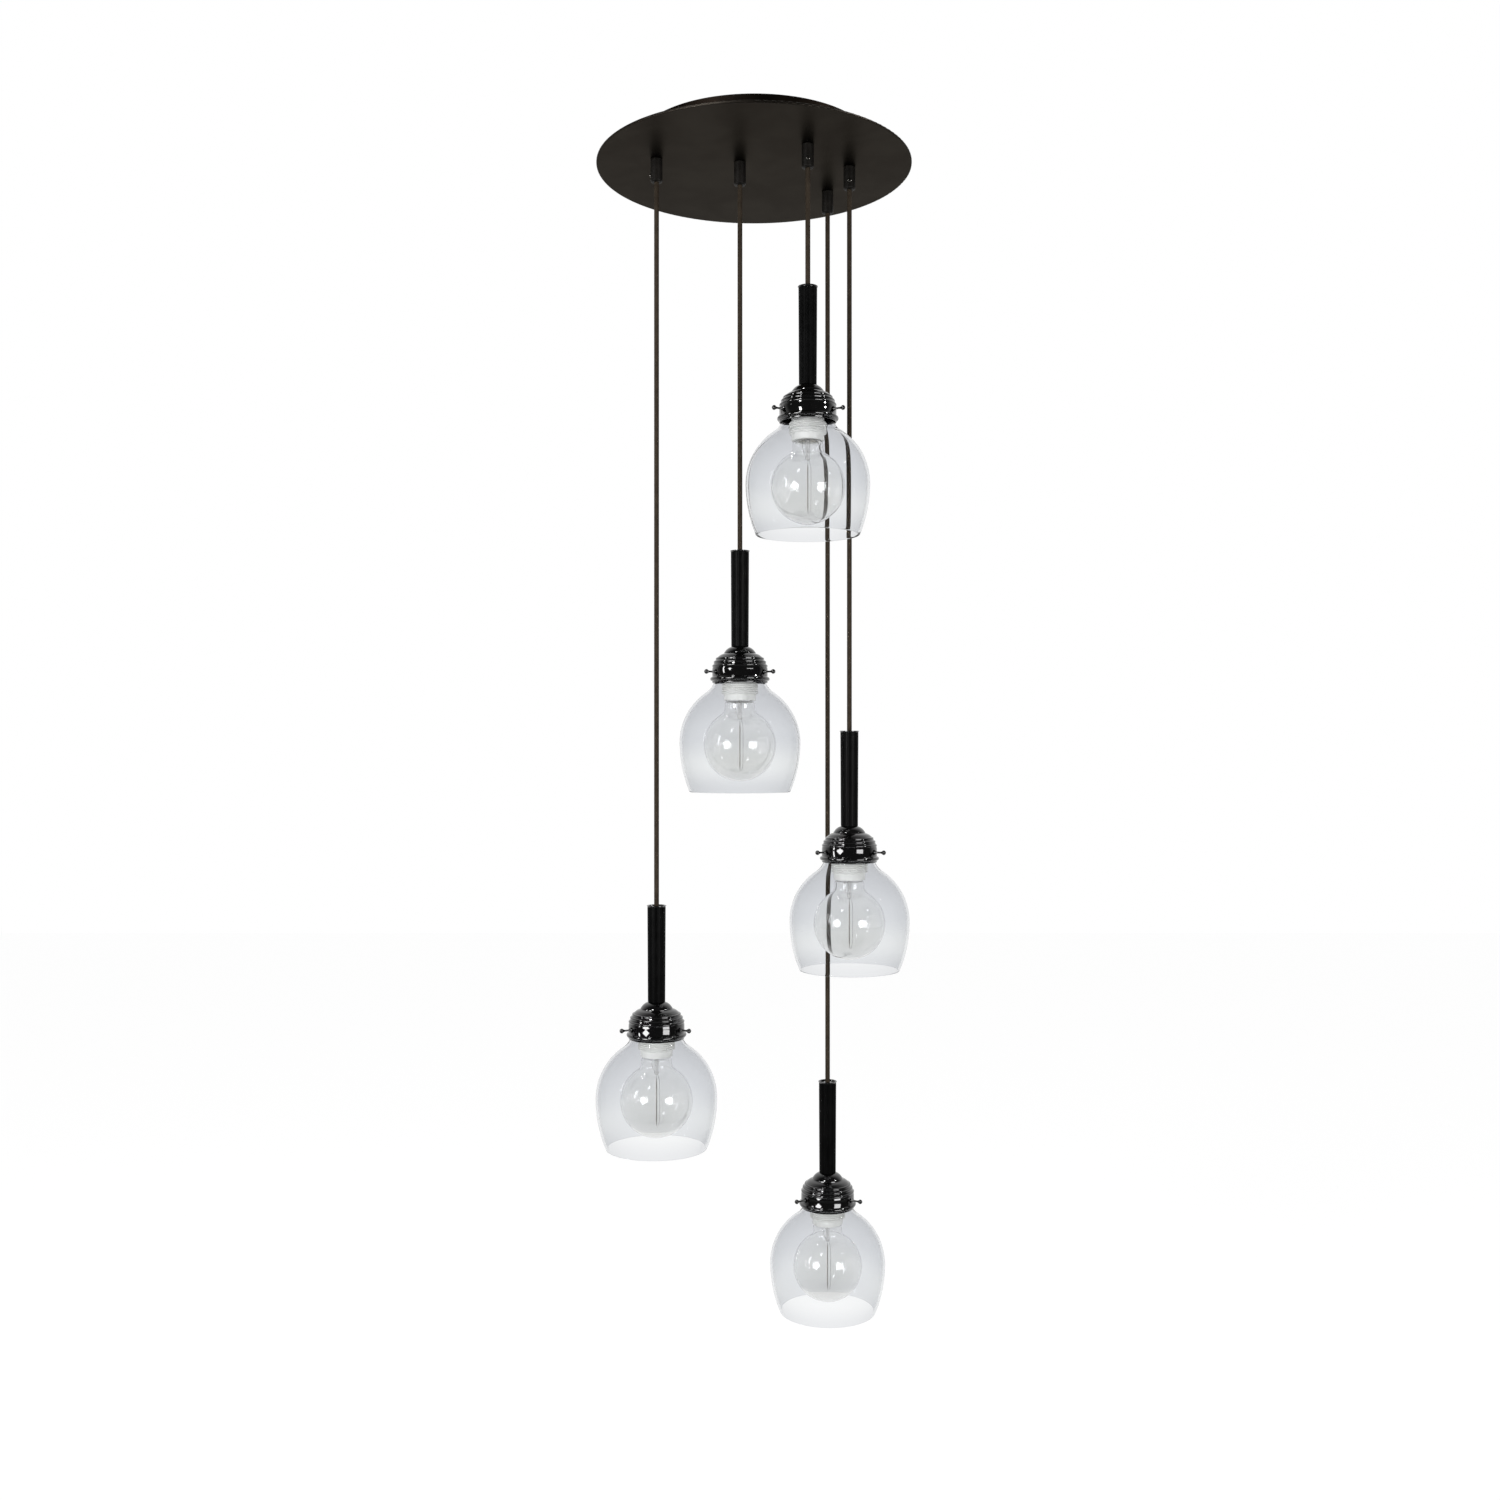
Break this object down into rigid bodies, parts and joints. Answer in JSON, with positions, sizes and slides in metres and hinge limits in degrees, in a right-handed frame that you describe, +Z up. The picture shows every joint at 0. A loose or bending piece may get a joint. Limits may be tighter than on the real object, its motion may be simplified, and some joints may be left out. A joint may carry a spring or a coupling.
{
  "type": "chandelier",
  "caption": "Cluster chandelier: round canopy plate with cord-hung fluted handles, ridged galleries, open clear glass shades and globe bulbs.",
  "frame": {"origin": "middle of the bracket's face that meets the ceiling", "axes": "+Z up towards the ceiling, +X to the right seen from the front, +Y away from the front"},
  "size_m": [0.36, 0.36, 1.365],
  "materials": {
    "plate_bronze": "satin dark bronze-brown with a faint mottle",
    "box_bronze": "satin dark bronze",
    "grip_bronze": "satin dark bronze",
    "zinc_steel": "zinc plated, dull",
    "screw_steel": "bright",
    "terminal_plastic": "matt moulded",
    "cord_fabric": "braided dark brown textile",
    "black_enamel": "high gloss black enamel",
    "black_satin": "semi-gloss black lacquer",
    "black_screw": "gloss black",
    "clear_glass": "clear, fire polished",
    "lamp_glass": "clear thin lamp glass",
    "holder_metal": "pale satin metal with thread",
    "cap_nickel": "nickel plated brass",
    "filament": "glass stem with a coated filament"
  },
  "bodies": {
    "canopy": {"ceiling_bracket": "zinc_steel", "side_screws": "zinc_steel", "ceiling_box": "box_bronze", "canopy_plate": "plate_bronze", "plate_nuts": "zinc_steel", "cord_grips": "grip_bronze", "grip_nuts": "zinc_steel", "grip_screws": "screw_steel", "terminal_block": "terminal_plastic", "cord_tails": "cord_fabric"},
    "hanging_cord_1": {"cord_1": "cord_fabric"},
    "pendant_1": {"handle_cap_1": "black_enamel", "handle_1": "black_satin", "gallery_1": "black_enamel", "thumb_screws_1": "black_screw", "shade_1": "clear_glass", "lamp_holder_1": "holder_metal", "bulb_cap_1": "cap_nickel", "bulb_glass_1": "lamp_glass", "bulb_filament_1": "filament"},
    "hanging_cord_2": {"cord_2": "cord_fabric"},
    "pendant_2": {"handle_cap_2": "black_enamel", "handle_2": "black_satin", "gallery_2": "black_enamel", "thumb_screws_2": "black_screw", "shade_2": "clear_glass", "lamp_holder_2": "holder_metal", "bulb_cap_2": "cap_nickel", "bulb_glass_2": "lamp_glass", "bulb_filament_2": "filament"},
    "hanging_cord_3": {"cord_3": "cord_fabric"},
    "pendant_3": {"handle_cap_3": "black_enamel", "handle_3": "black_satin", "gallery_3": "black_enamel", "thumb_screws_3": "black_screw", "shade_3": "clear_glass", "lamp_holder_3": "holder_metal", "bulb_cap_3": "cap_nickel", "bulb_glass_3": "lamp_glass", "bulb_filament_3": "filament"},
    "hanging_cord_4": {"cord_4": "cord_fabric"},
    "pendant_4": {"handle_cap_4": "black_enamel", "handle_4": "black_satin", "gallery_4": "black_enamel", "thumb_screws_4": "black_screw", "shade_4": "clear_glass", "lamp_holder_4": "holder_metal", "bulb_cap_4": "cap_nickel", "bulb_glass_4": "lamp_glass", "bulb_filament_4": "filament"},
    "hanging_cord_5": {"cord_5": "cord_fabric"},
    "pendant_5": {"handle_cap_5": "black_enamel", "handle_5": "black_satin", "gallery_5": "black_enamel", "thumb_screws_5": "black_screw", "shade_5": "clear_glass", "lamp_holder_5": "holder_metal", "bulb_cap_5": "cap_nickel", "bulb_glass_5": "lamp_glass", "bulb_filament_5": "filament"}
  },
  "joints": [
    {"name": "cord_swing_1", "type": "hinge", "parent": "canopy", "child": "hanging_cord_1", "pos_m": [0.059, -0.071, -0.056], "axis": [-0.6157, -0.788, 0], "range_deg": [-1, 15]},
    {"name": "cord_swing_2", "type": "hinge", "parent": "canopy", "child": "hanging_cord_2", "pos_m": [-0.016, -0.02, -0.056], "axis": [0.9511, 0.309, 0], "range_deg": [-1, 15]},
    {"name": "cord_swing_3", "type": "hinge", "parent": "canopy", "child": "hanging_cord_3", "pos_m": [0.109, -0.006, -0.056], "axis": [0, -1, 0], "range_deg": [-2, 15]},
    {"name": "cord_swing_4", "type": "hinge", "parent": "canopy", "child": "hanging_cord_4", "pos_m": [-0.11, -0.029, -0.056], "axis": [0.9135, 0.4067, 0], "range_deg": [-15, 15]},
    {"name": "cord_swing_5", "type": "hinge", "parent": "canopy", "child": "hanging_cord_5", "pos_m": [0.088, 0.071, -0.056], "axis": [0.2588, -0.9659, 0], "range_deg": [-3, 15]},
    {"name": "pendant_turn_1", "type": "hinge", "parent": "hanging_cord_1", "child": "pendant_1", "pos_m": [0.059, -0.071, -0.186], "axis": [0, 0, 1], "range_deg": [-180, 180]},
    {"name": "pendant_turn_2", "type": "hinge", "parent": "hanging_cord_2", "child": "pendant_2", "pos_m": [-0.016, -0.02, -0.47], "axis": [0, 0, 1], "range_deg": [-180, 180]},
    {"name": "pendant_turn_3", "type": "hinge", "parent": "hanging_cord_3", "child": "pendant_3", "pos_m": [0.109, -0.006, -0.674], "axis": [0, 0, 1], "range_deg": [-180, 180]},
    {"name": "pendant_turn_4", "type": "hinge", "parent": "hanging_cord_4", "child": "pendant_4", "pos_m": [-0.11, -0.029, -0.871], "axis": [0, 0, 1], "range_deg": [-180, 180]},
    {"name": "pendant_turn_5", "type": "hinge", "parent": "hanging_cord_5", "child": "pendant_5", "pos_m": [0.088, 0.071, -1.091], "axis": [0, 0, 1], "range_deg": [-180, 180]}
  ]
}
